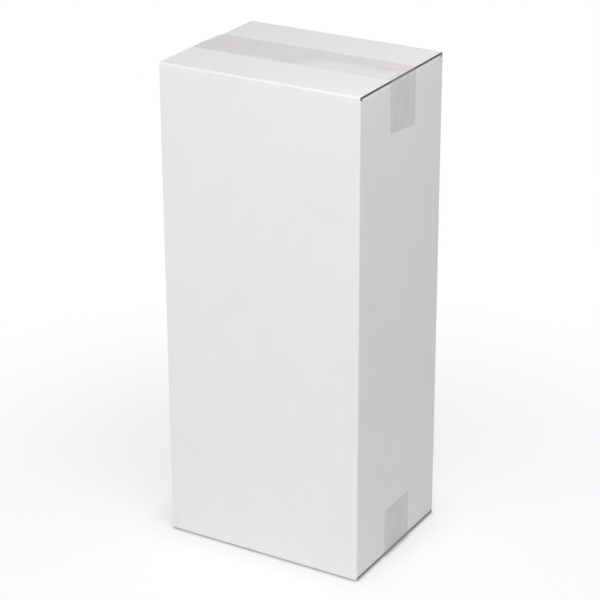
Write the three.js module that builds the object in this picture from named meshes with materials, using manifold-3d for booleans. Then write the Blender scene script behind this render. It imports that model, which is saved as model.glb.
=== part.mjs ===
// A tall white shipping carton of single-wall corrugated board, closed and taped at both ends.
// It is a regular slotted carton: one blank is scored, slotted, folded into a tube, glued along one
// corner and closed with four flaps at each end. The two inner flaps come from the short end
// panels. The two outer flaps come from the long panels, lie over the inner ones and meet in a
// seam down the middle. A strip of clear film tape covers each seam and runs over both end panels.
//
// X runs along the long panels, Y through the depth and Z up. The origin is under the middle of
// the carton, on the surface that it stands on. Lengths are in millimetres.
import * as THREE from "three";
import { mergeVertices } from "three/addons/utils/BufferGeometryUtils.js";
import Module from "manifold-3d";

// Room inside the closed carton
const insideWidth = 203;
const insideDepth = 151;
const insideHeight = 469.2;

// Corrugated board: a fluted sheet between two paper liners
const boardThickness = 3;
const linerThickness = 0.4;
const flutePitch = 6.4;
const foldRadius = 1.2; // outside, at the corners of the walls and at the inner flaps
const outerFlapFoldRadius = 2; // outside, where the outer flaps' scores are crushed wider
const creaseRadius = 0.4; // inside every fold

// Flaps
const seamGap = 0.4; // between the two outer flaps
const flapLayerGap = 0.3; // between an inner flap and the outer flaps on it
const outerFlapSetback = 1.2; // from its panel's end to the outer flap's cut side
const innerFlapSetback = 1.5; // from the long panel's inner face to the inner flap's cut side

// Glued corner, where the back panel's tab lies inside the left end panel
const glueTabWidth = 35;
const glueTabTaper = 12; // height that each slanted end of the tab takes off it
const gluedEdgeSetback = 1; // from the back panel's face to the left panel's cut edge

// Film tape
const tapeWidth = 48;
const tapeThickness = 0.2;
const adhesiveThickness = 0.05;
const tapeOverlap = 50; // how far each end of a strip runs along an end panel
const crookedCutDrop = 4.5; // how much lower one corner of the top strip's right end hangs
const toothPitch = 2; // teeth that the dispenser's blade leaves in a strip's ends
const toothDepth = 0.8;

// Sizes that follow from the ones above
const outsideWidth = insideWidth + 2 * boardThickness;
const outsideDepth = insideDepth + 2 * boardThickness;
const outsideHeight = insideHeight + 4 * boardThickness + 2 * flapLayerGap;
const halfWidth = outsideWidth / 2;
const halfDepth = outsideDepth / 2;
const halfHeight = outsideHeight / 2;
const jointX = -halfWidth + boardThickness; // where the left panel lies on the glue tab
const flapReach = halfDepth - seamGap / 2; // from a panel's outer face to its flap's free edge
const innerFlapTop = halfHeight - boardThickness - flapLayerGap;
const slotEnd = innerFlapTop - foldRadius; // how high the corners of the walls reach
const glueTabTop = innerFlapTop - foldReach(foldRadius);
const centreHeight = halfHeight + adhesiveThickness + tapeThickness;

// Construction
const foldSteps = 8; // in a quarter turn
const fluteSteps = 5;
const rootOverlap = 0.5; // by which a flap's solid runs into its panel

const across = new THREE.Vector3(1, 0, 0);
const back = new THREE.Vector3(0, 1, 0);
const up = new THREE.Vector3(0, 0, 1);
const point = (x, y) => new THREE.Vector2(x, y);

// How far a fold with this outside radius reaches along the board, on its face or in its crease
function foldReach(radius) {
  return Math.max(radius, boardThickness + creaseRadius);
}

const wasm = await Module();
wasm.setup();

// A closed geometry as a solid that can be joined and cut
function solidOf(geometry) {
  const bare = new THREE.BufferGeometry();
  const flat = geometry.index ? geometry.toNonIndexed() : geometry;
  bare.setAttribute("position", flat.getAttribute("position"));
  const merged = mergeVertices(bare, 1e-4);
  return new wasm.Manifold(
    new wasm.Mesh({
      numProp: 3,
      vertProperties: merged.getAttribute("position").array,
      triVerts: new Uint32Array(merged.index.array),
    }),
  );
}

// A solid as a geometry with flat-shaded faces
function geometryOf(solid) {
  const { vertProperties, triVerts } = solid.getMesh();
  const indexed = new THREE.BufferGeometry();
  indexed.setAttribute("position", new THREE.BufferAttribute(vertProperties, 3));
  indexed.setIndex(new THREE.BufferAttribute(triVerts, 1));
  const geometry = indexed.toNonIndexed();
  geometry.computeVertexNormals();
  return geometry;
}

// Extrudes an outline whose own x and y run along two perpendicular axes of the carton. The
// extrusion starts at a corner point and runs along the cross product of the axes.
function extrudeAlong(outline, depth, xAxis, yAxis, corner) {
  const geometry = new THREE.ExtrudeGeometry(outline, {
    depth,
    bevelEnabled: false,
    curveSegments: foldSteps / 2,
  });
  const direction = new THREE.Vector3().crossVectors(xAxis, yAxis);
  const frame = new THREE.Matrix4().makeBasis(xAxis, yAxis, direction);
  return geometry.applyMatrix4(frame.setPosition(corner));
}

// A cut edge of the board, across which one flute lies open between the liners. The fluted sheet
// leaves the shallow face's liner at the cut and meets the deep face's liner half a pitch in.
function openFluteEdge(shallow, deep, inward) {
  const through = deep.clone().sub(shallow).normalize();
  const at = (distance, depth) =>
    shallow.clone().addScaledVector(through, distance).addScaledVector(inward, depth);
  const farLiner = boardThickness - linerThickness;
  const sheet = new THREE.CubicBezierCurve(
    at(linerThickness, 0),
    at(linerThickness, flutePitch / 4),
    at(farLiner, flutePitch / 4),
    at(farLiner, flutePitch / 2),
  );
  return [shallow, ...sheet.getPoints(fluteSteps), at(farLiner, 0), deep];
}

// The course of the four walls, seen from above. The left end panel stops at the back left corner
// and lies on the tab that is folded off the back panel.
function wallOutline() {
  const rightX = halfWidth - foldRadius;
  const frontY = -halfDepth + foldRadius;
  const backY = halfDepth - foldRadius;
  const cutEdgeY = halfDepth - gluedEdgeSetback;
  const outline = new THREE.Shape();
  outline.moveTo(-halfWidth, cutEdgeY);
  outline.lineTo(-halfWidth, frontY);
  outline.absarc(-halfWidth + foldRadius, frontY, foldRadius, Math.PI, 1.5 * Math.PI);
  outline.lineTo(rightX, -halfDepth);
  outline.absarc(rightX, frontY, foldRadius, -0.5 * Math.PI, 0);
  outline.lineTo(halfWidth, backY);
  outline.absarc(rightX, backY, foldRadius, 0, 0.5 * Math.PI);
  outline.lineTo(jointX + foldRadius, halfDepth);
  outline.absarc(jointX + foldRadius, backY, foldRadius, 0.5 * Math.PI, Math.PI);
  const cutEdge = [point(jointX, cutEdgeY), point(-halfWidth, cutEdgeY)];
  for (const corner of openFluteEdge(...cutEdge, point(0, -1))) {
    outline.lineTo(corner.x, corner.y);
  }

  const tabX = jointX + boardThickness;
  const tabEndY = halfDepth - glueTabWidth;
  const innerRightX = insideWidth / 2 - creaseRadius;
  const innerFrontY = -insideDepth / 2 + creaseRadius;
  const innerBackY = insideDepth / 2 - creaseRadius;
  const inside = new THREE.Path();
  inside.moveTo(jointX, innerFrontY);
  inside.absarc(jointX + creaseRadius, innerFrontY, creaseRadius, Math.PI, 1.5 * Math.PI);
  inside.lineTo(innerRightX, -insideDepth / 2);
  inside.absarc(innerRightX, innerFrontY, creaseRadius, -0.5 * Math.PI, 0);
  inside.lineTo(insideWidth / 2, innerBackY);
  inside.absarc(innerRightX, innerBackY, creaseRadius, 0, 0.5 * Math.PI);
  inside.lineTo(tabX + creaseRadius, insideDepth / 2);
  inside.absarc(tabX + creaseRadius, innerBackY, creaseRadius, 0.5 * Math.PI, Math.PI);
  for (const corner of openFluteEdge(point(tabX, tabEndY), point(jointX, tabEndY), point(0, 1))) {
    inside.lineTo(corner.x, corner.y);
  }
  outline.holes.push(inside);
  return outline;
}

// The waste that leaves one slanted end on the glue tab, clear of the inner flap above it
function tabWaste(end) {
  const foldY = insideDepth / 2 - creaseRadius;
  const farY = foldY - 2 * glueTabWidth;
  const outline = new THREE.Shape([
    point(foldY, glueTabTop),
    point(foldY, innerFlapTop),
    point(farY, innerFlapTop),
    point(farY, glueTabTop - glueTabTaper),
    point(halfDepth - glueTabWidth, glueTabTop - glueTabTaper),
  ]);
  const depth = 2 * boardThickness;
  const startX = end > 0 ? jointX : jointX + depth;
  const endward = up.clone().multiplyScalar(end);
  return extrudeAlong(outline, depth, back, endward, new THREE.Vector3(startX, 0, 0));
}

// Where the board of a flap runs, in section across its fold: inward from the panel's face, and
// up. Each station pairs a point on the outer face with the one opposite it on the inner face.
function flapCourse(flapTop, radius) {
  const under = flapTop - boardThickness;
  const root = Math.min(slotEnd, flapTop - foldReach(radius)) - rootOverlap;
  const bend = Array.from({ length: foldSteps + 1 }, (_, step) => {
    const angle = ((Math.PI / 2) * step) / foldSteps;
    const along = 1 - Math.cos(angle);
    const drop = 1 - Math.sin(angle);
    return [
      point(radius * along, flapTop - radius * drop),
      point(boardThickness + creaseRadius * along, under - creaseRadius * drop),
    ];
  });
  return [
    [point(0, root), point(boardThickness, root)],
    ...bend,
    [point(flapReach, flapTop), point(flapReach, under)],
  ];
}

// One flap with its fold. The board's section, with an open flute along each cut side, is carried
// from the wall round the fold to the flap's free edge.
function flap({ middle, inward, end, length, flapTop, radius }) {
  const half = length / 2;
  const leftSide = openFluteEdge(point(-half, boardThickness), point(-half, 0), point(1, 0));
  const rightSide = openFluteEdge(point(half, boardThickness), point(half, 0), point(-1, 0));
  const section = new THREE.Shape([...leftSide, ...rightSide.reverse()]);
  const course = flapCourse(flapTop, radius);
  const steps = course.length - 1;
  const geometry = new THREE.ExtrudeGeometry(section, { depth: steps, steps, bevelEnabled: false });
  const positions = geometry.getAttribute("position");
  for (let index = 0; index < positions.count; index += 1) {
    const [outer, inner] = course[Math.round(positions.getZ(index))];
    const place = outer.clone().lerp(inner, positions.getY(index) / boardThickness);
    positions.setXYZ(index, place.x, place.y, positions.getX(index));
  }
  const endward = up.clone().multiplyScalar(end);
  const alongFold = new THREE.Vector3().crossVectors(inward, endward);
  const frame = new THREE.Matrix4().makeBasis(inward, endward, alongFold);
  return solidOf(geometry.applyMatrix4(frame.setPosition(middle)));
}

// The four flaps at one end, which is 1 at the top and -1 at the bottom
function flapsAt(end) {
  const front = {
    middle: back.clone().multiplyScalar(-halfDepth),
    inward: back,
    length: outsideWidth - 2 * outerFlapSetback,
    flapTop: halfHeight,
    radius: outerFlapFoldRadius,
  };
  const rear = {
    middle: new THREE.Vector3((jointX + halfWidth) / 2, halfDepth, 0),
    inward: back.clone().negate(),
    length: halfWidth - jointX - 2 * outerFlapSetback,
    flapTop: halfHeight,
    radius: outerFlapFoldRadius,
  };
  const [left, right] = [1, -1].map((side) => ({
    middle: across.clone().multiplyScalar(-side * halfWidth),
    inward: across.clone().multiplyScalar(side),
    length: insideDepth - 2 * innerFlapSetback,
    flapTop: innerFlapTop,
    radius: foldRadius,
  }));
  return [front, rear, left, right].map((shape) => flap({ ...shape, end }));
}

// The whole blank, folded and glued
function carton() {
  const floor = new THREE.Vector3(0, 0, -slotEnd);
  const walls = solidOf(extrudeAlong(wallOutline(), 2 * slotEnd, across, back, floor));
  const trimmed = [1, -1].reduce((rest, end) => rest.subtract(solidOf(tabWaste(end))), walls);
  const flaps = [...flapsAt(1), ...flapsAt(-1)];
  return geometryOf(flaps.reduce((joined, solid) => joined.add(solid), trimmed));
}

// A strip of tape in section: over the seam, round the outer flaps' cut sides and along both end
// panels, past the line where it will be cut
function tapeOutline() {
  const innerBend = outerFlapSetback + adhesiveThickness;
  const outerBend = innerBend + tapeThickness;
  const bendX = halfWidth - outerFlapSetback;
  const bendY = halfHeight - outerFlapSetback;
  const endY = halfHeight - tapeOverlap - crookedCutDrop - toothDepth;
  const outline = new THREE.Shape();
  outline.moveTo(bendX + outerBend, endY);
  outline.lineTo(bendX + outerBend, bendY);
  outline.absarc(bendX, bendY, outerBend, 0, 0.5 * Math.PI);
  outline.lineTo(-bendX, bendY + outerBend);
  outline.absarc(-bendX, bendY, outerBend, 0.5 * Math.PI, Math.PI);
  outline.lineTo(-bendX - outerBend, endY);
  outline.lineTo(-bendX - innerBend, endY);
  outline.lineTo(-bendX - innerBend, bendY);
  outline.absarc(-bendX, bendY, innerBend, Math.PI, 0.5 * Math.PI, true);
  outline.lineTo(bendX, bendY + innerBend);
  outline.absarc(bendX, bendY, innerBend, 0.5 * Math.PI, 0, true);
  outline.lineTo(bendX + innerBend, endY);
  return outline;
}

// The waste below the saw-tooth line where the blade cuts a strip, with its own x towards the
// back. The line falls by drop from the strip's front edge to its back one.
function tapeWaste(drop) {
  const teeth = Math.max(1, Math.round(tapeWidth / toothPitch));
  const cutY = halfHeight - tapeOverlap;
  const wasteY = cutY - tapeOverlap;
  const line = Array.from({ length: 2 * teeth + 1 }, (_, corner) => {
    const share = corner / (2 * teeth);
    const notch = corner % 2 ? toothDepth : 0;
    return point((share - 0.5) * tapeWidth, cutY - share * drop + notch);
  });
  const margin = toothPitch;
  return new THREE.Shape([
    point(-tapeWidth / 2 - margin, wasteY),
    point(tapeWidth / 2 + margin, wasteY),
    point(tapeWidth / 2 + margin, cutY - drop),
    ...line.reverse(),
    point(-tapeWidth / 2 - margin, cutY),
  ]);
}

// One strip of tape, over the top seam when end is 1 and under the bottom seam when it is -1
function tape(end, rightDrop) {
  const endward = up.clone().multiplyScalar(end);
  const stripStart = new THREE.Vector3(0, (end * tapeWidth) / 2, 0);
  const strip = extrudeAlong(tapeOutline(), tapeWidth, across, endward, stripStart);
  const drops = [
    [-1, 0],
    [1, rightDrop],
  ];
  const cut = drops.reduce((rest, [side, drop]) => {
    const startX = side * end > 0 ? 0 : side * outsideWidth;
    const start = new THREE.Vector3(startX, 0, 0);
    const waste = extrudeAlong(tapeWaste(drop), outsideWidth, back, endward, start);
    return rest.subtract(solidOf(waste));
  }, solidOf(strip));
  return geometryOf(cut);
}

const whiteBoard = new THREE.MeshStandardMaterial({
  color: 0xe9e8e6,
  roughness: 0.75,
  metalness: 0,
});
const clearFilm = new THREE.MeshStandardMaterial({
  color: 0xd9d8d4,
  roughness: 0.25,
  metalness: 0,
  transparent: true,
  opacity: 0.45,
});

const shippingCarton = new THREE.Group();
const pieces = [
  ["carton", carton(), whiteBoard],
  ["top_tape", tape(1, crookedCutDrop), clearFilm],
  ["bottom_tape", tape(-1, 0), clearFilm],
];
for (const [name, geometry, material] of pieces) {
  const piece = new THREE.Mesh(geometry, material);
  piece.name = name;
  piece.position.z = centreHeight;
  shippingCarton.add(piece);
}

export default shippingCarton;
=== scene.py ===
"""A tall white corrugated carton, closed and sealed with clear tape, as a Blender add-on.

The carton is one blank of fluted board that is folded up by code. Two strips of film tape lie over
its seams. The stage is a white floor with soft studio light and a camera.
"""

import math

import bpy
from bpy.props import FloatProperty, FloatVectorProperty, IntProperty, PointerProperty
from mathutils import Matrix, Vector, noise


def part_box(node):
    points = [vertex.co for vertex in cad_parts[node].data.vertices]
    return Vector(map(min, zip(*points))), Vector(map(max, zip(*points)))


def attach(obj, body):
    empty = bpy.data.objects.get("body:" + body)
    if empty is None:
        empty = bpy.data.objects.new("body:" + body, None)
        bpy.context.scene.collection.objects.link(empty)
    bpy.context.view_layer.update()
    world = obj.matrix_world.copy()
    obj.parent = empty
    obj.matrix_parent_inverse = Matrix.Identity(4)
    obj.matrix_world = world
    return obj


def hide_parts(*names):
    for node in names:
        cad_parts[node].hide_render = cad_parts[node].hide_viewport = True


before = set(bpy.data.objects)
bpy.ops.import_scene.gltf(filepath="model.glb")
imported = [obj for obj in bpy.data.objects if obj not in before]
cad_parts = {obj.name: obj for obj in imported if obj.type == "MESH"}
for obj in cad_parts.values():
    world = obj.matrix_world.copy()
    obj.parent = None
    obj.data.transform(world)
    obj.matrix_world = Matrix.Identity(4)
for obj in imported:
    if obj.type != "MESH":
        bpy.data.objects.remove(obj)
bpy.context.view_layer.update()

bl_info = {
    "name": "Taped corrugated carton",
    "version": (1, 0, 0),
    "blender": (4, 5, 0),
    "location": "View3D > Sidebar > Carton",
    "description": "Folds a white corrugated carton and tapes it shut",
    "category": "Add Mesh",
}

BODY = "root"
MM = 0.001
CARTON_LOW, CARTON_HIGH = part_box("carton")
TAPE_LOW, TAPE_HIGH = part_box("top_tape")
HALF_WIDTH = CARTON_HIGH.x
HALF_DEPTH = CARTON_HIGH.y
HALF_HEIGHT = (CARTON_HIGH.z - CARTON_LOW.z) / 2
MIDDLE_Z = (CARTON_HIGH.z + CARTON_LOW.z) / 2
TAPE_WIDTH = TAPE_HIGH.y - TAPE_LOW.y
UP = Vector((0, 0, 1))
BLACK = (0, 0, 0, 1)
WHITE = (1, 1, 1, 1)
EVEN = (1, 1, 1)


def length(name, description, millimetres):
    """A length that a user may change, with its default given in millimetres."""
    return FloatProperty(
        name=name, description=description, default=millimetres * MM, unit="LENGTH", precision=5
    )


def colour(name, description, default):
    """A colour that a user may change."""
    return FloatVectorProperty(name=name, description=description, subtype="COLOR", default=default)


class BoardSettings(bpy.types.PropertyGroup):
    """The corrugated board and the way it is folded"""

    thickness: length("Thickness", "Thickness of the board", 3)
    liner: length("Liner", "Thickness of each paper liner", 0.5)
    flute_pitch: length("Flute pitch", "Distance from one flute to the next", 6.4)
    ripple: length("Ripple", "How far the liner sinks between two flutes", 0.012)
    fold_radius: length("Fold radius", "Outside, at the walls and the inner flaps", 1.2)
    wide_radius: length("Wide fold radius", "Outside, at the outer flaps", 2)
    crease_radius: length("Crease radius", "Inside radius of each fold", 0.4)
    seam_gap: length("Seam gap", "Gap between the two outer flaps", 0.06)
    layer_gap: length("Layer gap", "Gap between an inner flap and the outer flaps on it", 0.3)
    inner_setback: length("Inner setback", "From a long panel to the inner flap's cut side", 1.5)
    tab_width: length("Glue tab width", "Width of the tab inside the left panel", 35)
    tab_taper: length("Glue tab taper", "Height that each slanted end takes off the tab", 12)
    cut_setback: length("Cut edge setback", "From the back face to the left panel's cut edge", 1)
    glue_gap: length("Glue gap", "Thickness of the glue on the tab", 0.05)
    bow: length("Bow", "How far the middle of a wall stands out from its edges", 0.5)
    flap_lift: length("Flap lift", "How far the top flaps rise along the seam", 0.35)
    liner_colour: colour("Liner colour", "Bleached outer liner", (0.835, 0.815, 0.82))
    fluting_colour: colour("Fluting colour", "Raw fluting in the cut edges", (0.36, 0.33, 0.3))


class TapeSettings(bpy.types.PropertyGroup):
    """The clear film tape"""

    thickness: length("Thickness", "Thickness of the film", 0.2)
    adhesive: length("Adhesive", "Thickness of the adhesive under the film", 0.05)
    pocket: length("Air pocket", "Height of the air pockets under the film", 0.1)
    tooth_depth: length("Tooth depth", "Depth of the saw teeth across a cut end", 0.8)
    crooked: length("Crooked cut", "How much lower one corner of the right end hangs", 4.5)
    overlap: length("Overlap", "How far each end runs along an end panel", 50)
    bend_radius: length("Bend radius", "Of the film over the edge of the closed flaps", 0.6)
    teeth: IntProperty(name="Teeth", description="Saw teeth across a cut end", default=24)
    film_colour: colour("Film colour", "The film and its adhesive", (0.715, 0.705, 0.665))


class StageSettings(bpy.types.PropertyGroup):
    """The floor, the light and the camera"""

    azimuth: FloatProperty(
        name="Azimuth",
        description="Angle of the camera to the right of the front panel",
        default=math.radians(30.43),
        subtype="ANGLE",
    )
    elevation: FloatProperty(
        name="Elevation",
        description="Angle of the camera above level",
        default=math.radians(23.474),
        subtype="ANGLE",
    )
    roll: FloatProperty(
        name="Roll",
        description="Turn of the camera about its line of sight",
        default=math.radians(-0.226),
        subtype="ANGLE",
    )
    place: FloatVectorProperty(
        name="Camera place",
        description="Where the camera stands",
        subtype="TRANSLATION",
        unit="LENGTH",
        default=(0.9643, -1.6467, 1.0685),
    )
    lens: FloatProperty(
        name="Lens", description="Focal length in millimetres on a 36 mm sensor", default=130.37
    )
    key_power: FloatProperty(
        name="Key light",
        description="Soft light from the front and above",
        default=2.6,
        subtype="POWER",
    )
    fill_power: FloatProperty(
        name="Fill light", description="Low soft light from the right", default=3.55, subtype="POWER"
    )
    front_power: FloatProperty(
        name="Front light", description="Low soft light from the front", default=14.2, subtype="POWER"
    )
    top_power: FloatProperty(
        name="Top light", description="Soft light above the right end", default=9.4, subtype="POWER"
    )
    sky: FloatProperty(name="Sky", description="Strength of the light all round", default=0.28)


# Folding the blank


def lerp(start, end, share):
    """What lies at a share of the way from start to end."""
    return start + (end - start) * share


def marks(start, end, step):
    """Evenly spaced values from start to end, both included, about one step apart."""
    count = max(1, round(abs(end - start) / step))
    return [lerp(start, end, index / count) for index in range(count + 1)]


def smooth(share):
    """An even rise from 0 to 1 that starts and ends level."""
    share = min(max(share, 0), 1)
    return share * share * (3 - 2 * share)


def flat_sheet_mesh(name, points, faces, layer, flat):
    """A mesh with a map that gives each point its place on the sheet when it lies flat."""
    mesh = bpy.data.meshes.new(name)
    mesh.from_pydata(points, [], faces)
    places = mesh.uv_layers.new(name=layer)
    for loop in mesh.loops:
        places.data[loop.index].uv = flat[loop.vertex_index]
    return mesh


def seam_lift(board, x, y):
    """How far the closed top flaps stand above their fold lines at a place on the top."""
    along = max(0, 1 - (x / HALF_WIDTH) ** 2)
    towards_seam = smooth(1 - abs(y) / HALF_DEPTH)
    return board.flap_lift * along * towards_seam


def wall_bulge(board, half, place, share):
    """How far a wall stands out at a place across it and a share of the way up or down."""
    return board.bow * math.cos(math.pi / 2 * place / half) * math.cos(math.pi / 2 * share)


class Column:
    """One line of the board along its flutes: a point on its outer face and one on its inner face,
    as seen from above, with how far the board reaches there and its place across the flat blank."""

    def __init__(self, outer, inner, reach, across, panel=None, place=0):
        self.outer = outer
        self.inner = inner
        self.reach = reach
        self.inner_reach = reach
        self.across = across
        self.panel = panel
        self.place = place


class Panel:
    """A wall panel: the middle of its outer face, the way it runs and the way in."""

    def __init__(self, middle, along, half, flap_half, flap_top, flap_reach, radius):
        self.middle = Vector(middle)
        self.along = Vector(along)
        self.inward = Vector((-self.along.y, self.along.x))
        self.half = half
        self.flap_half = flap_half
        self.flap_top = flap_top
        self.flap_reach = flap_reach
        self.radius = radius

    def turn(self, share):
        """The way out of the corner at the panel's far end, at a share of the way round it."""
        angle = math.pi / 2 * share
        return self.along * math.sin(angle) - self.inward * math.cos(angle)


class Blank:
    """The die-cut blank, folded into a closed carton as one closed mesh. Each fold has FOLD_STEPS
    steps, and an outer flap reaches round FLAP_STEPS of them at each of its corners."""

    FOLD_STEPS = 8
    FLAP_STEPS = 3
    FLUTE_STEPS = 6
    COLUMNS_A_FLUTE = 4
    SLACK = MM / 100
    FLUTE_SLACK = MM / 10
    ROW_STEP = 22 * MM
    FLAP_ROW_STEP = 9 * MM
    LINER, FLUTING = 0, 1

    def __init__(self, board):
        self.board = board
        self.points = []
        self.flat = []
        self.faces = []
        self.finishes = []
        self.column_step = board.flute_pitch / self.COLUMNS_A_FLUTE
        self.inner_top = HALF_HEIGHT - board.thickness - board.layer_gap
        self.slot_end = self.inner_top - board.fold_radius
        self.corner_top = HALF_HEIGHT - board.thickness
        self.inset = board.thickness + board.crease_radius
        setback = board.fold_radius * (1 - math.sin(math.pi / 2 * self.FLAP_STEPS / self.FOLD_STEPS))
        joint_x = -HALF_WIDTH + board.thickness
        back_half = (HALF_WIDTH - joint_x) / 2
        back_x = (HALF_WIDTH + joint_x) / 2
        outer_reach = HALF_DEPTH - board.seam_gap / 2
        inner_half = HALF_DEPTH - board.thickness - board.inner_setback
        inner = (HALF_DEPTH, inner_half, self.inner_top, outer_reach, board.fold_radius)
        outer = (HALF_HEIGHT, outer_reach, board.wide_radius)
        self.panels = [
            Panel((-HALF_WIDTH, 0), (0, -1), *inner),
            Panel((0, -HALF_DEPTH), (1, 0), HALF_WIDTH, HALF_WIDTH - setback, *outer),
            Panel((HALF_WIDTH, 0), (0, 1), *inner),
            Panel((back_x, HALF_DEPTH), (-1, 0), back_half, back_half - setback, *outer),
        ]
        self.columns = []
        self.flap_spans = []
        self.lay_out_walls()
        self.raise_walls()
        for panel, span in zip(self.panels, self.flap_spans):
            for end in (1, -1):
                self.fold_flap(panel, span, end)

    def point(self, place, across, along):
        """Adds a point, with its place on the flat blank, and returns its number."""
        self.points.append((place.x, place.y, place.z + MIDDLE_Z))
        self.flat.append((across, along))
        return len(self.points) - 1

    def face(self, corners, finish):
        """Adds a face."""
        self.faces.append(corners)
        self.finishes.append(finish)

    def ripple(self, across, panel_edge):
        """How far the outer liner has sunk between two flutes, which fades out at a score."""
        sink = (1 - math.cos(2 * math.pi * across / self.board.flute_pitch)) / 2
        return self.board.ripple * sink * smooth(panel_edge / (2 * self.board.flute_pitch))

    def lay_out_walls(self):
        """Lists the columns from the left panel's cut edge round to the edge of the glue tab."""
        board = self.board
        across = 0
        for number, panel in enumerate(self.panels):
            low = -panel.half + (board.cut_setback if number == 0 else self.inset)
            high = panel.half - self.inset
            stops = [low, high]
            if panel.flap_half < high:
                stops[1:1] = [-panel.flap_half, panel.flap_half]
            places = [stops[0]]
            for start, end in zip(stops, stops[1:]):
                places += marks(start, end, self.column_step)[1:]
            start_across = across - low
            first = len(self.columns)
            for place in places:
                outer = panel.middle + panel.along * place
                inner = outer + panel.inward * board.thickness
                column = Column(outer, inner, self.slot_end, start_across + place, panel, place)
                if abs(place) <= panel.flap_half + self.SLACK and panel.flap_top == self.inner_top:
                    column.inner_reach = self.inner_top - self.inset
                self.columns.append(column)
            across = start_across + high
            if panel.flap_half < high:
                inside = [abs(place) <= panel.flap_half + self.SLACK for place in places]
                start = first + inside.index(True)
                self.flap_spans.append((start, start + sum(inside) - 1))
            else:
                before = first - 1 - self.FLAP_STEPS
                self.flap_spans.append((before, len(self.columns) + self.FLAP_STEPS))
            across = self.turn_corner(panel, across)
        self.lay_out_tab(across)

    def turn_corner(self, panel, across):
        """Adds the columns of the fold at a panel's far end and returns the place across the blank."""
        board = self.board
        corner = panel.middle + panel.along * panel.half
        outer_centre = corner + (panel.inward - panel.along) * board.fold_radius
        inner_centre = corner + (panel.inward - panel.along) * self.inset
        for step in range(self.FOLD_STEPS + 1):
            share = step / self.FOLD_STEPS
            inner_share = (step + 1) / (self.FOLD_STEPS + 2)
            outer = outer_centre + panel.turn(share) * board.fold_radius
            inner = inner_centre + panel.turn(inner_share) * board.crease_radius
            place = across + board.crease_radius + math.pi / 2 * share * board.fold_radius
            from_flap = step if panel.flap_top == HALF_HEIGHT else self.FOLD_STEPS - step
            reach = self.slot_end if from_flap <= self.FLAP_STEPS else self.corner_top
            column = Column(outer, inner, reach, place)
            column.inner_reach = self.slot_end
            self.columns.append(column)
        return place + board.crease_radius

    def lay_out_tab(self, across):
        """Adds the columns of the glue tab, which lies inside the left panel."""
        board = self.board
        edge_x = self.panels[3].middle.x - self.panels[3].half + board.glue_gap
        start_y = HALF_DEPTH - self.inset
        end_y = HALF_DEPTH - board.tab_width
        top = self.inner_top - self.inset - board.glue_gap
        for y in marks(start_y, end_y, board.flute_pitch)[1:]:
            share = (start_y - y) / (start_y - end_y)
            outer = Vector((edge_x, y))
            inner = Vector((edge_x + board.thickness, y))
            reach = top - board.tab_taper * share
            self.columns.append(Column(outer, inner, reach, across + start_y - y))

    def raise_walls(self):
        """Carries the columns up the walls, and closes the board's edges round the slots."""
        board = self.board
        rows = marks(-1, 1, self.ROW_STEP / self.slot_end)
        self.rows = []
        for share in rows:
            row = []
            for column in self.columns:
                outer = column.outer
                inner = column.inner
                if column.panel:
                    panel = column.panel
                    out = wall_bulge(board, panel.half, column.place, share)
                    sink = self.ripple(column.across, panel.half - abs(column.place))
                    outer = outer + panel.inward * (sink - out)
                    inner = inner - panel.inward * out
                height = share * column.reach
                inner_height = share * column.inner_reach
                row.append(
                    (
                        self.point(outer.to_3d() + UP * height, column.across, height),
                        self.point(inner.to_3d() + UP * inner_height, column.across, inner_height),
                    )
                )
            self.rows.append(row)
        for low, high in zip(self.rows, self.rows[1:]):
            for number in range(len(self.columns) - 1):
                self.face(
                    [low[number][0], low[number + 1][0], high[number + 1][0], high[number][0]],
                    self.LINER,
                )
                self.face(
                    [low[number][1], high[number][1], high[number + 1][1], low[number + 1][1]],
                    self.LINER,
                )
            self.face([low[-1][0], low[-1][1], high[-1][1], high[-1][0]], self.FLUTING)
        cut = self.open_flute([row[0] for row in self.rows], self.panels[0].along, reverse=True)
        last = len(self.columns) - 1
        spans = [(-1, 0)] + self.flap_spans + [(last, last + 1)]
        for (_, start), (end, _) in zip(spans, spans[1:]):
            for row, top, profile in ((self.rows[-1], True, cut[-1]), (self.rows[0], False, cut[0])):
                edge = profile if start == 0 else []
                self.close_end(row[start : end + 1], edge, top)

    def past_flute(self, pairs):
        """The number of the first pair that lies past the open flute at the first one."""
        start = self.points[pairs[0][0]]
        reach = self.board.flute_pitch / 2 + self.FLUTE_SLACK
        for number, (outer, _) in enumerate(pairs):
            if math.dist(self.points[outer], start) > reach:
                return number
        return len(pairs) - 1

    def close_end(self, pairs, profile, top):
        """Closes the board's cut end between two columns, round the open flute at its first one."""
        skip = 0
        if profile:
            skip = self.past_flute(pairs)
            corners = [pair[0] for pair in pairs[: skip + 1]]
            corners += [pair[1] for pair in reversed(pairs[: skip + 1])]
            corners += list(reversed(profile))
            self.face(corners if top else corners[::-1], self.FLUTING)
        for left, right in zip(pairs[skip:], pairs[skip + 1 :]):
            corners = [left[0], right[0], right[1], left[1]]
            self.face(corners if top else corners[::-1], self.FLUTING)

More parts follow.
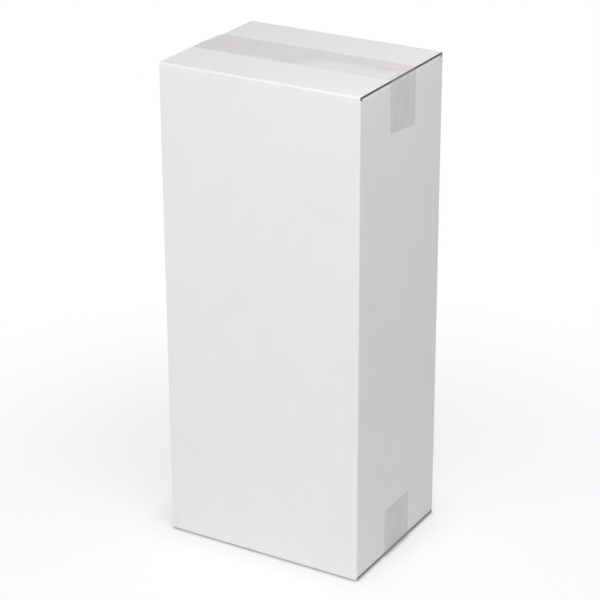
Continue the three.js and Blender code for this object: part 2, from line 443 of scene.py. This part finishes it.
    def open_flute(self, pairs, inward, reverse):
        """The cut side of the board along one flute, which lies open between the liners. Returns
        the profile's points at each pair, from the outer face to the inner one."""
        board = self.board
        liner = board.liner / board.thickness
        depth = board.flute_pitch / 2
        shares = [step / self.FLUTE_STEPS for step in range(self.FLUTE_STEPS + 1)]
        course = [(lerp(liner, 1 - liner, smooth(share)), depth * share) for share in shares]
        course.append((1 - liner, 0))
        profiles = []
        for outer, inner in pairs:
            start = Vector(self.points[outer]) - UP * MIDDLE_Z
            through = Vector(self.points[inner]) - UP * MIDDLE_Z - start
            across, along = self.flat[outer]
            profiles.append(
                [
                    self.point(start + through * share + inward.to_3d() * deep, across, along)
                    for share, deep in course
                ]
            )
        for number in range(len(pairs) - 1):
            low = [pairs[number][0], *profiles[number], pairs[number][1]]
            high = [pairs[number + 1][0], *profiles[number + 1], pairs[number + 1][1]]
            for step in range(len(low) - 1):
                corners = [low[step], high[step], high[step + 1], low[step + 1]]
                finish = self.LINER if step in (0, len(low) - 2) else self.FLUTING
                self.face(corners if reverse else corners[::-1], finish)
        return profiles

    def flap_course(self, panel):
        """The board of a flap in section across its fold, as pairs of distances inward and up."""
        board = self.board
        under = panel.flap_top - board.thickness
        course = []
        for step in range(self.FOLD_STEPS + 1):
            angle = math.pi / 2 * step / self.FOLD_STEPS
            reach = panel.radius * (1 - math.cos(angle))
            drop = panel.radius * (1 - math.sin(angle))
            crease = math.pi / 2 * step / (self.FOLD_STEPS + 1)
            inner_reach = board.thickness + board.crease_radius * (1 - math.cos(crease))
            inner_drop = board.crease_radius * (1 - math.sin(crease))
            course.append(((reach, panel.flap_top - drop), (inner_reach, under - inner_drop)))
        for reach in marks(self.inset, panel.flap_reach, self.FLAP_ROW_STEP):
            course.append(((reach, panel.flap_top), (reach, under)))
        if panel.flap_top == self.inner_top:
            del course[0]
        return course

    def fold_flap(self, panel, span, end):
        """Carries a panel's columns round the fold to its flap's free edge."""
        board = self.board
        first, last = span
        wall = self.rows[-1] if end > 0 else self.rows[0]
        rows = [wall[first : last + 1]]
        columns = self.columns[first : last + 1]
        for (reach, height), (inner_reach, inner_height) in self.flap_course(panel):
            row = []
            for column in columns:
                place = (column.outer - panel.middle).dot(panel.along)
                foot = panel.middle + panel.along * place
                flatness = min(1, reach / self.inset) * (panel.flap_half - abs(place))
                outer = foot + panel.inward * reach
                inner = foot + panel.inward * inner_reach
                sink = self.ripple(column.across, flatness) if reach > self.inset else 0
                lift = 0
                if end > 0 and panel.flap_top == HALF_HEIGHT:
                    lift = seam_lift(board, outer.x, outer.y)
                run = panel.flap_top + reach
                top = outer.to_3d() + UP * end * (height + lift - sink)
                under = inner.to_3d() + UP * end * (inner_height + lift)
                row.append(
                    (
                        self.point(top, column.across, end * run),
                        self.point(under, column.across, end * run),
                    )
                )
            rows.append(row)
        for low, high in zip(rows, rows[1:]):
            for number in range(len(columns) - 1):
                outer = [low[number][0], low[number + 1][0], high[number + 1][0], high[number][0]]
                inner = [low[number][1], high[number][1], high[number + 1][1], low[number + 1][1]]
                self.face(outer if end > 0 else outer[::-1], self.LINER)
                self.face(inner if end > 0 else inner[::-1], self.LINER)
        top = end > 0
        starts = self.open_flute([row[0] for row in rows], panel.along, reverse=top)
        stops = self.open_flute([row[-1] for row in rows], -panel.along, reverse=not top)
        for pairs, profiles in (([row[0] for row in rows], starts), ([row[-1] for row in rows], stops)):
            corners = [pairs[0][0], *profiles[0], pairs[0][1]]
            towards = (profiles is starts) == top
            self.face(corners if towards else corners[::-1], self.FLUTING)
        edge = rows[-1]
        middle = len(edge) // 2
        self.close_end(edge[: middle + 1], starts[-1], top)
        self.close_end(edge[middle:][::-1], stops[-1], not top)

    def mesh(self, name):
        """The folded blank as a mesh, smooth on its liners and sharp where they end."""
        mesh = flat_sheet_mesh(name, self.points, self.faces, "blank", self.flat)
        mesh.polygons.foreach_set("material_index", self.finishes)
        mesh.polygons.foreach_set("use_smooth", [finish == self.LINER for finish in self.finishes])
        finishes_at = {}
        for polygon in mesh.polygons:
            for key in polygon.edge_keys:
                finishes_at.setdefault(key, set()).add(polygon.material_index)
        for edge in mesh.edges:
            edge.use_edge_sharp = len(finishes_at[edge.key]) > 1
        mesh.update()
        return mesh


# Film tape


class Strip:
    """A strip of film over one seam and down both end panels, as a closed thin mesh."""

    BEND_STEPS = 8
    STEP = 2 * MM
    POCKETS = (90, 28)
    POCKET_SEED = 3
    POCKET_LEVEL = 0.15
    FLUTTER = (20, 120)
    FLUTTER_SEED = 7
    FLUTTER_SHARE = 0.8
    LOOSE_FROM = 0.8
    POCKET_GAIN = 1.6

    def __init__(self, board, tape, end):
        self.board = board
        self.tape = tape
        self.end = end
        self.points = []
        self.flat = []
        self.faces = []
        lines = self.course()
        sides = []
        for lift in (tape.adhesive + tape.thickness, tape.adhesive):
            sides.append([self.lay_row(line, lift) for line in lines])
        outer, inner = sides
        self.skin(outer, end > 0)
        self.skin(inner, end < 0)
        self.rim(outer, inner)

    def course(self):
        """The strip in section from its right end to its left one: for each row the side that it
        is on, a share of the way down that end panel, an angle round the bend, and a place in x."""
        radius = self.tape.bend_radius
        drop = marks(0, 1, self.STEP / self.tape.overlap)
        turn = [step / self.BEND_STEPS for step in range(self.BEND_STEPS + 1)]
        flat = marks(1, -1, self.STEP / (HALF_WIDTH - radius))
        rows = [("end", 1, share) for share in reversed(drop)][:-1]
        rows += [("bend", 1, share) for share in turn][:-1]
        rows += [("top", 1, share) for share in flat]
        rows += [("bend", -1, share) for share in reversed(turn)][1:]
        return rows + [("end", -1, share) for share in drop][1:]

    def cut_drop(self, side, share):
        """How far below the usual cut line the strip is cut at a share of its width."""
        tooth = abs((share * self.tape.teeth) % 1 - 0.5) * 2
        crooked = self.tape.crooked if side > 0 and self.end > 0 else 0
        return crooked * share - self.tape.tooth_depth * (1 - tooth)

    def pocket(self, kind, y, run):
        """How high the film stands off the board where it didn't stick."""
        if kind != "end" and self.end < 0:
            return 0
        patch_place = (y * self.POCKETS[0], run * self.POCKETS[1], self.POCKET_SEED * self.end)
        flutter_place = (run * self.FLUTTER[1], self.FLUTTER_SEED * self.end, y * self.FLUTTER[0])
        patch = noise.noise(Vector(patch_place))
        flutter = noise.noise(Vector(flutter_place))
        edge = smooth((abs(y) / TAPE_WIDTH * 2 - self.LOOSE_FROM) / (1 - self.LOOSE_FROM))
        lift = max(0, patch - self.POCKET_LEVEL) + self.FLUTTER_SHARE * edge * max(0, flutter)
        return self.tape.pocket * lift * self.POCKET_GAIN

    def lay_row(self, line, lift):
        """The points of one row across the strip."""
        kind, side, share = line
        board = self.board
        radius = self.tape.bend_radius
        bend_x = HALF_WIDTH - radius
        bend_z = HALF_HEIGHT - radius
        row = []
        count = 2 * self.tape.teeth
        for number in range(count + 1):
            width_share = number / count
            y = (width_share - 0.5) * TAPE_WIDTH
            if kind == "end":
                reach = self.tape.overlap - radius + self.cut_drop(side, width_share)
                z = bend_z - reach * share
                run = side * (bend_x + radius * math.pi / 2 + reach * share)
                out = lift + self.pocket(kind, y, run)
                out += wall_bulge(board, HALF_DEPTH, y, z / (HALF_HEIGHT - 2 * board.thickness))
                place = Vector((side * (HALF_WIDTH + out), y, z))
            elif kind == "bend":
                angle = math.pi / 2 * share
                run = side * (bend_x + radius * (math.pi / 2 - angle))
                out = radius + lift
                place = Vector((bend_x + out * math.cos(angle), y, bend_z + out * math.sin(angle)))
                place.x *= side
            else:
                run = bend_x * share
                out = lift + self.pocket(kind, y, run)
                if self.end > 0:
                    out += seam_lift(board, run, y)
                place = Vector((run, y, HALF_HEIGHT + out))
            place.z = place.z * self.end + MIDDLE_Z
            self.points.append(place)
            self.flat.append((y, run))
            row.append(len(self.points) - 1)
        return row

    def skin(self, rows, forward):
        """Faces between rows."""
        for low, high in zip(rows, rows[1:]):
            for number in range(len(low) - 1):
                corners = [low[number], low[number + 1], high[number + 1], high[number]]
                self.faces.append(corners if forward else corners[::-1])

    def rim(self, outer, inner):
        """Closes the film's edges."""
        outer_loop = outer[0] + [row[-1] for row in outer[1:]]
        outer_loop += outer[-1][-2::-1] + [row[0] for row in outer[-2:0:-1]]
        inner_loop = inner[0] + [row[-1] for row in inner[1:]]
        inner_loop += inner[-1][-2::-1] + [row[0] for row in inner[-2:0:-1]]
        for number in range(len(outer_loop)):
            corners = [
                outer_loop[number - 1],
                inner_loop[number - 1],
                inner_loop[number],
                outer_loop[number],
            ]
            self.faces.append(corners if self.end > 0 else corners[::-1])

    def mesh(self, name):
        """The strip as a mesh."""
        mesh = flat_sheet_mesh(name, self.points, self.faces, "strip", self.flat)
        mesh.polygons.foreach_set("use_smooth", [True] * len(self.faces))
        mesh.update()
        return mesh


# Finishes


class LinerLook:
    """Numbers of the liner's look. Scales are per metre and tones are shares of its colour."""

    CLOUDS = 26
    FIBRES = (700, 2600, 1)
    SPECKS = 900
    CLOUD_SHARE = 0.5
    FIBRE_SHARE = 0.25
    FLUTE_SHARE = 0.06
    SHADES = (0.3, 0.62)
    TONES = (0.985, 1.012)
    SPECK_LEVELS = (0.72, 0.8)
    SPECK_TONE = 0.9
    SPECK_SHARE = 0.35
    BUMP = 0.12
    BUMP_HEIGHT = 0.02 * MM
    ROUGHNESS = 0.5
    FIBRE_ROUGHNESS = 0.12
    SPECULAR = 0.45
    SHEEN = 0.05


class FlutingLook:
    """Numbers of the fluting's look. Scales are per metre and tones are shares of its colour."""

    FIBRES = 1400
    PATCHES = 120
    FIBRE_SHARE = 0.6
    PATCH_SHARE = 0.4
    SHADES = (0.35, 0.65)
    TONES = (0.8, 1.15)
    BUMP = 0.3
    BUMP_HEIGHT = 0.05 * MM
    ROUGHNESS = 0.9


class FilmLook:
    """Numbers of the film's look. Scales are per metre, and places are across and along it."""

    PATCHES = (90, 28, 1)
    STREAKS = (420, 9, 1)
    WAVES = (50, 110, 1)
    PATCH_SHARE = 0.65
    STREAK_SHARE = 0.35
    SHADES = (0.38, 0.62)
    EDGE_WAVE = 9 * MM
    STUCK_FROM = (0.3 * MM, 1.6 * MM)
    LIFT_WAVE = 40 * MM
    LIFTED_FROM = (5 * MM, 25 * MM)
    SEAM_WAVE = 2 * MM
    FRONT_HALF = (-1 * MM, 1 * MM)
    TOP_END = (98 * MM, 102 * MM)
    LIFT_CLEARS = 0.55
    SMUDGE_PLACE = (2 * MM, -74 * MM, 0)
    SMUDGE_WAVE = 6 * MM
    SMUDGE_FADE = (3 * MM, 9 * MM)
    SMUDGE_COLOUR = (0.62, 0.5, 0.36, 1)
    SMUDGE_SHARE = 0.6
    DARK_TONE = 0.92
    ALPHA = 0.148
    HAZE_ALPHA = 0.035
    LOOSE_SHARE = 0.15
    BUMP = 0.25
    BUMP_HEIGHT = 0.1 * MM
    ROUGHNESS = 0.12
    HAZE_ROUGHNESS = 0.1
    SPECULAR = 0.5


class FloorLook:
    """Numbers of the floor's look. The soft and contact shades are painted shadow, where ambient
    occlusion darkens the floor's glow close to the object. The gain makes up for the half of the
    surroundings that stays open at the foot of a wall."""

    FADE = (0.22, 0.6)
    NEAR_GLOW = 0.722
    NEAR_PAINT = (0.32, 0.32, 0.32, 1)
    PLAIN_PAINT = (0.94, 0.94, 0.94, 1)
    SOFT_REACH = 45 * MM
    SOFT_SHADE = 0.17
    CONTACT_REACH = 4.5 * MM
    CONTACT_SHADE = 0.55
    SAMPLES = 16
    GAIN = 2


class Signal:
    """A socket of a finish. Arithmetic on it adds Math nodes."""

    def __init__(self, finish, socket):
        self.finish = finish
        self.socket = socket

    def math(self, operation, first, second):
        return self.finish.node("ShaderNodeMath", {"operation": operation}, {0: first, 1: second})

    def __add__(self, other):
        return self.math("ADD", self, other)

    __radd__ = __add__

    def __sub__(self, other):
        return self.math("SUBTRACT", self, other)

    def __rsub__(self, other):
        return self.math("SUBTRACT", other, self)

    def __mul__(self, other):
        return self.math("MULTIPLY", self, other)

    __rmul__ = __mul__


class Finish:
    """The nodes of a material or of the world, as they are added."""

    def __init__(self, owner):
        self.owner = owner
        self.owner.use_nodes = True
        self.tree = owner.node_tree
        self.tree.nodes.clear()

    def node(self, kind, settings, inputs, output=0):
        """Adds a node, sets it up, feeds its sockets and returns one of its outputs."""
        node = self.tree.nodes.new(kind)
        for name, value in settings.items():
            setattr(node, name, value)
        for key, value in inputs.items():
            socket = node.inputs[key] if isinstance(key, int) else self.named(node.inputs, key)
            if isinstance(value, Signal):
                self.tree.links.new(value.socket, socket)
            else:
                socket.default_value = value
        found = node.outputs[output] if isinstance(output, int) else self.named(node.outputs, output)
        return Signal(self, found)

    def named(self, sockets, key):
        """The socket with this identifier or, failing that, this name."""
        return next((socket for socket in sockets if socket.identifier == key), None) or sockets[key]

    def mix(self, first, second, share):
        """A colour at a share of the way between two."""
        return self.node(
            "ShaderNodeMix",
            {"data_type": "RGBA"},
            {"Factor_Float": share, "A_Color": first, "B_Color": second},
            "Result_Color",
        )

    def rise(self, value, low, high):
        """An even rise from 0 to 1 while a value goes from low to high."""
        settings = {"interpolation_type": "SMOOTHSTEP"}
        inputs = {"Value": value, "From Min": low, "From Max": high}
        return self.node("ShaderNodeMapRange", settings, inputs)

    def grain(self, coordinates, scales, scale, detail):
        """Noise over coordinates that are stretched by a scale for each axis."""
        stretched = self.node(
            "ShaderNodeVectorMath", {"operation": "MULTIPLY"}, {0: coordinates, 1: scales}
        )
        inputs = {"Vector": stretched, "Scale": scale, "Detail": detail}
        return self.node("ShaderNodeTexNoise", {}, inputs)

    def bump(self, height, strength, distance):
        """A normal that leans with a height."""
        inputs = {"Strength": strength, "Distance": distance, "Height": height}
        return self.node("ShaderNodeBump", {}, inputs)

    def part(self, vector, axis):
        """One coordinate of a vector."""
        return self.node("ShaderNodeSeparateXYZ", {}, {0: vector}, axis)

    def end(self, surface, kind="ShaderNodeOutputMaterial"):
        """Feeds the surface to the output and returns the material or the world."""
        output = self.tree.nodes.new(kind)
        self.tree.links.new(surface.socket, output.inputs["Surface"])
        return self.owner


def opaque(value):
    """A colour with full alpha."""
    return (*value, 1)


def scaled(value, share):
    """A colour made lighter or darker."""
    return tuple(channel * share for channel in value)


def two_tones(finish, value, tones, share):
    """A colour that runs from its darker tone to its lighter one."""
    dark, light = (opaque(scaled(value, tone)) for tone in tones)
    return finish.mix(dark, light, share)


def liner_finish(board):
    """Bleached liner paper: fibres, a cloudy sheet, faint flute lines and a few specks."""
    look = LinerLook
    finish = Finish(bpy.data.materials.new("bleached_liner"))
    flat = finish.node("ShaderNodeUVMap", {"uv_map": "blank"}, {})
    solid = finish.node("ShaderNodeTexCoord", {}, {}, "Object")
    turns = finish.part(flat, "X") * (2 * math.pi / board.flute_pitch)
    wave = finish.node("ShaderNodeMath", {"operation": "COSINE"}, {0: turns})
    cloud = finish.grain(solid, EVEN, look.CLOUDS, 3)
    fibres = finish.grain(flat, look.FIBRES, 1, 4)
    specks = finish.grain(solid, EVEN, look.SPECKS, 1)
    flutes = (wave + 2) * look.FLUTE_SHARE
    shade = cloud * look.CLOUD_SHARE + fibres * look.FIBRE_SHARE + flutes
    base = two_tones(finish, board.liner_colour, look.TONES, finish.rise(shade, *look.SHADES))
    speck = finish.rise(specks, *look.SPECK_LEVELS) * look.SPECK_SHARE
    base = finish.mix(base, opaque(scaled(board.liner_colour, look.SPECK_TONE)), speck)
    tooth = finish.bump(fibres + specks * 0.5, look.BUMP, look.BUMP_HEIGHT)
    surface = finish.node(
        "ShaderNodeBsdfPrincipled",
        {},
        {
            "Base Color": base,
            "Roughness": fibres * look.FIBRE_ROUGHNESS + look.ROUGHNESS,
            "Specular IOR Level": look.SPECULAR,
            "Sheen Weight": look.SHEEN,
            "Normal": tooth,
        },
    )
    return finish.end(surface)


def fluting_finish(board):
    """Raw brown fluting, seen in the cut edges."""
    look = FlutingLook
    finish = Finish(bpy.data.materials.new("brown_fluting"))
    solid = finish.node("ShaderNodeTexCoord", {}, {}, "Object")
    fibres = finish.grain(solid, EVEN, look.FIBRES, 3)
    patches = finish.grain(solid, EVEN, look.PATCHES, 2)
    shade = fibres * look.FIBRE_SHARE + patches * look.PATCH_SHARE
    base = two_tones(finish, board.fluting_colour, look.TONES, finish.rise(shade, *look.SHADES))
    tooth = finish.bump(fibres, look.BUMP, look.BUMP_HEIGHT)
    surface = finish.node(
        "ShaderNodeBsdfPrincipled",
        {},
        {"Base Color": base, "Roughness": look.ROUGHNESS, "Normal": tooth},
    )
    return finish.end(surface)


def film_finish(tape):
    """Clear film: a faint haze that stops at a wavy line where the front edge isn't stuck down, is
    weaker where the front half has lifted towards the right, and holds one warm smudge."""
    look = FilmLook
    finish = Finish(bpy.data.materials.new("clear_film"))
    place = finish.node("ShaderNodeUVMap", {"uv_map": "strip"}, {})
    across = finish.part(place, "X")
    run = finish.part(place, "Y")
    patches = finish.grain(place, look.PATCHES, 1, 4)
    streaks = finish.grain(place, look.STREAKS, 1, 3)
    waves = finish.grain(place, look.WAVES, 1, 3) - 0.5
    haze = finish.rise(patches * look.PATCH_SHARE + streaks * look.STREAK_SHARE, *look.SHADES)
    from_edge = across + waves * look.EDGE_WAVE + TAPE_WIDTH / 2
    stuck = finish.rise(from_edge, *look.STUCK_FROM)
    towards_right = finish.rise(run + waves * look.LIFT_WAVE, *look.LIFTED_FROM)
    front_half = 1 - finish.rise(across + waves * look.SEAM_WAVE, *look.FRONT_HALF)
    on_top = 1 - finish.rise(run, *look.TOP_END)
    lifted = towards_right * front_half * on_top
    off_smudge = finish.node(
        "ShaderNodeVectorMath", {"operation": "DISTANCE"}, {0: place, 1: look.SMUDGE_PLACE}, "Value"
    )
    smudge = 1 - finish.rise(off_smudge + waves * look.SMUDGE_WAVE, *look.SMUDGE_FADE)
    base = two_tones(finish, tape.film_colour, (look.DARK_TONE, 1), haze)
    base = finish.mix(base, look.SMUDGE_COLOUR, smudge * look.SMUDGE_SHARE)
    clear = stuck * (1 - lifted * look.LIFT_CLEARS)
    cover = clear * (1 - look.LOOSE_SHARE) + look.LOOSE_SHARE
    surface = finish.node(
        "ShaderNodeBsdfPrincipled",
        {},
        {
            "Base Color": base,
            "Roughness": haze * look.HAZE_ROUGHNESS + look.ROUGHNESS,
            "Specular IOR Level": look.SPECULAR,
            "Alpha": (look.ALPHA - haze * look.HAZE_ALPHA) * cover,
            "Normal": finish.bump(streaks + patches, look.BUMP, look.BUMP_HEIGHT),
        },
    )
    return finish.end(surface)


# Stage


def seen_light(finish):
    """Is 1 where the camera sees the surface, directly or in a gloss or through a film."""
    path = {}
    for name in ("Is Camera Ray", "Is Glossy Ray", "Is Transmission Ray"):
        path[name] = finish.node("ShaderNodeLightPath", {}, {}, name)
    total = path["Is Camera Ray"] + path["Is Glossy Ray"] + path["Is Transmission Ray"]
    return finish.node("ShaderNodeMath", {"operation": "MINIMUM"}, {0: total, 1: 1.0})


def painted_shadow_nearness(finish, distance):
    """Painted shadow on the floor from ambient occlusion: rises to 1 where the floor meets the
    object, from 0 at a distance from it.
    """
    settings = {"samples": FloorLook.SAMPLES}
    open_share = finish.node("ShaderNodeAmbientOcclusion", settings, {"Distance": distance}, "AO")
    shut_share = (1 - open_share) * FloorLook.GAIN
    return finish.node("ShaderNodeMath", {"operation": "MINIMUM"}, {0: shut_share, 1: 1.0})


def floor_finish():
    """A white studio floor. Where it is seen it glows nearly white close to the object, so that
    the shadow stays, and fully white further out. Close to the object the glow is also darkened by
    a painted soft shadow and a painted contact shadow from ambient occlusion. To the object it is a
    plain white floor."""
    look = FloorLook
    finish = Finish(bpy.data.materials.new("studio_floor"))
    place = finish.node("ShaderNodeTexCoord", {}, {}, "Object")
    distance = finish.node("ShaderNodeVectorMath", {"operation": "LENGTH"}, {0: place}, "Value")
    far = finish.rise(distance, *look.FADE)
    # Painted shadow: ambient occlusion darkens the glow softly round the object's foot and more at its
    # contact line.
    soft = painted_shadow_nearness(finish, look.SOFT_REACH) * look.SOFT_SHADE
    contact = painted_shadow_nearness(finish, look.CONTACT_REACH) * look.CONTACT_SHADE
    # The glow, darkened by the painted soft and contact shadow.
    glow_with_painted_shadow = (far * (1 - look.NEAR_GLOW) + look.NEAR_GLOW) * (1 - soft - contact)
    glow = finish.node(
        "ShaderNodeEmission", {}, {"Color": finish.mix(BLACK, WHITE, glow_with_painted_shadow), "Strength": 1.0}
    )
    near_paint = finish.mix(look.NEAR_PAINT, BLACK, far)
    lit = finish.node("ShaderNodeBsdfDiffuse", {}, {"Color": near_paint})
    seen_floor = finish.node("ShaderNodeAddShader", {}, {0: glow, 1: lit})
    plain_floor = finish.node("ShaderNodeBsdfDiffuse", {}, {"Color": look.PLAIN_PAINT})
    surface = finish.node(
        "ShaderNodeMixShader", {}, {0: seen_light(finish), 1: plain_floor, 2: seen_floor}
    )
    return finish.end(surface)


def link(thing):
    """Puts a new object in the scene."""
    bpy.context.scene.collection.objects.link(thing)
    return thing


def add_lamp(name, place, target, size, power):
    """Adds a square soft light that faces a target."""
    data = bpy.data.lights.new(name, "AREA")
    data.shape = "SQUARE"
    data.size = size
    data.energy = power
    lamp = link(bpy.data.objects.new(name, data))
    lamp.location = place
    lamp.rotation_euler = (Vector(target) - Vector(place)).to_track_quat("-Z", "Y").to_euler()


class CARTON_OT_fold(bpy.types.Operator):
    """Folds the blank into the closed carton"""

    bl_idname = "carton.fold"
    bl_label = "Fold carton"

    def execute(self, context):
        board = context.scene.carton_board
        carton = link(bpy.data.objects.new("folded_carton", Blank(board).mesh("folded_carton")))
        carton.data.materials.append(liner_finish(board))
        carton.data.materials.append(fluting_finish(board))
        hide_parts("carton")
        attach(carton, BODY)
        return {"FINISHED"}


class CARTON_OT_tape(bpy.types.Operator):
    """Lays a strip of film tape over each seam"""

    bl_idname = "carton.tape"
    bl_label = "Tape seams"

    def execute(self, context):
        board = context.scene.carton_board
        tape = context.scene.carton_tape
        film = film_finish(tape)
        for name, node, end in (("top_film", "top_tape", 1), ("bottom_film", "bottom_tape", -1)):
            strip = link(bpy.data.objects.new(name, Strip(board, tape, end).mesh(name)))
            strip.data.materials.append(film)
            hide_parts(node)
            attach(strip, BODY)
        return {"FINISHED"}


class CARTON_OT_stage(bpy.types.Operator):
    """Sets up the floor, the light and the camera"""

    bl_idname = "carton.stage"
    bl_label = "Set stage"

    SENSOR = 36
    FLOOR_HALF = 15.0
    LAMPS = {
        "key": ((-0.23, -1.64, 1.53), 0.9),
        "front": ((-0.3, -2.0, 0.5), 1.2),
        "fill": ((2.0, 0.35, 0.6), 1.2),
        "top": ((0.45, -0.35, 1.5), 0.6),
    }

    def execute(self, context):
        settings = context.scene.carton_stage
        self.lay_floor()
        self.light(context.scene, settings)
        self.place_camera(context.scene, settings)
        context.scene.view_settings.view_transform = "Standard"
        return {"FINISHED"}

    def lay_floor(self):
        half = self.FLOOR_HALF
        mesh = bpy.data.meshes.new("floor")
        corners = [(-half, -half, 0), (half, -half, 0), (half, half, 0), (-half, half, 0)]
        mesh.from_pydata(corners, [], [(0, 1, 2, 3)])
        mesh.materials.append(floor_finish())
        link(bpy.data.objects.new("floor", mesh))

    def light(self, scene, settings):
        centre = (0, 0, CARTON_HIGH.z / 2)
        for name, (place, size) in self.LAMPS.items():
            add_lamp(f"{name}_light", place, centre, size, getattr(settings, f"{name}_power"))
        finish = Finish(bpy.data.worlds.new("studio"))
        sky = finish.mix(opaque([settings.sky] * 3), WHITE, seen_light(finish))
        background = finish.node("ShaderNodeBackground", {}, {"Color": sky, "Strength": 1.0})
        scene.world = finish.end(background, "ShaderNodeOutputWorld")

    def place_camera(self, scene, settings):
        azimuth, elevation, roll = settings.azimuth, settings.elevation, settings.roll
        back = Vector(
            (
                math.sin(azimuth) * math.cos(elevation),
                -math.cos(azimuth) * math.cos(elevation),
                math.sin(elevation),
            )
        )
        right = (-back).cross(UP).normalized()
        up = right.cross(-back)
        turned_right = right * math.cos(roll) + up * math.sin(roll)
        turned_up = up * math.cos(roll) - right * math.sin(roll)
        data = bpy.data.cameras.new("camera")
        data.lens = settings.lens
        data.sensor_width = self.SENSOR
        camera = link(bpy.data.objects.new("camera", data))
        camera.matrix_world = Matrix.Translation(settings.place) @ Matrix(
            (turned_right, turned_up, back)
        ).transposed().to_4x4()
        scene.camera = camera


class CARTON_PT_panel(bpy.types.Panel):
    """The steps that build the carton"""

    bl_label = "Taped carton"
    bl_idname = "CARTON_PT_panel"
    bl_space_type = "VIEW_3D"
    bl_region_type = "UI"
    bl_category = "Carton"

    def draw(self, context):
        for name in ("carton_board", "carton_tape", "carton_stage"):
            settings = getattr(context.scene, name)
            box = self.layout.box()
            for field in settings.__annotations__:
                box.prop(settings, field)
        for step in STEPS:
            self.layout.operator(step.bl_idname)


STEPS = (CARTON_OT_stage, CARTON_OT_fold, CARTON_OT_tape)
SETTINGS = {
    "carton_board": BoardSettings,
    "carton_tape": TapeSettings,
    "carton_stage": StageSettings,
}
CLASSES = (*SETTINGS.values(), *STEPS, CARTON_PT_panel)


def register():
    for kind in CLASSES:
        bpy.utils.register_class(kind)
    for name, kind in SETTINGS.items():
        setattr(bpy.types.Scene, name, PointerProperty(type=kind))


def unregister():
    for name in SETTINGS:
        delattr(bpy.types.Scene, name)
    for kind in reversed(CLASSES):
        bpy.utils.unregister_class(kind)


def corners(bounds):
    """A box as two plain lists of numbers."""
    return [[float(value) for value in corner] for corner in bounds]


def main():
    register()
    bpy.ops.carton.stage()
    bpy.ops.carton.fold()
    bpy.ops.carton.tape()


if __name__ == "__main__":
    main()
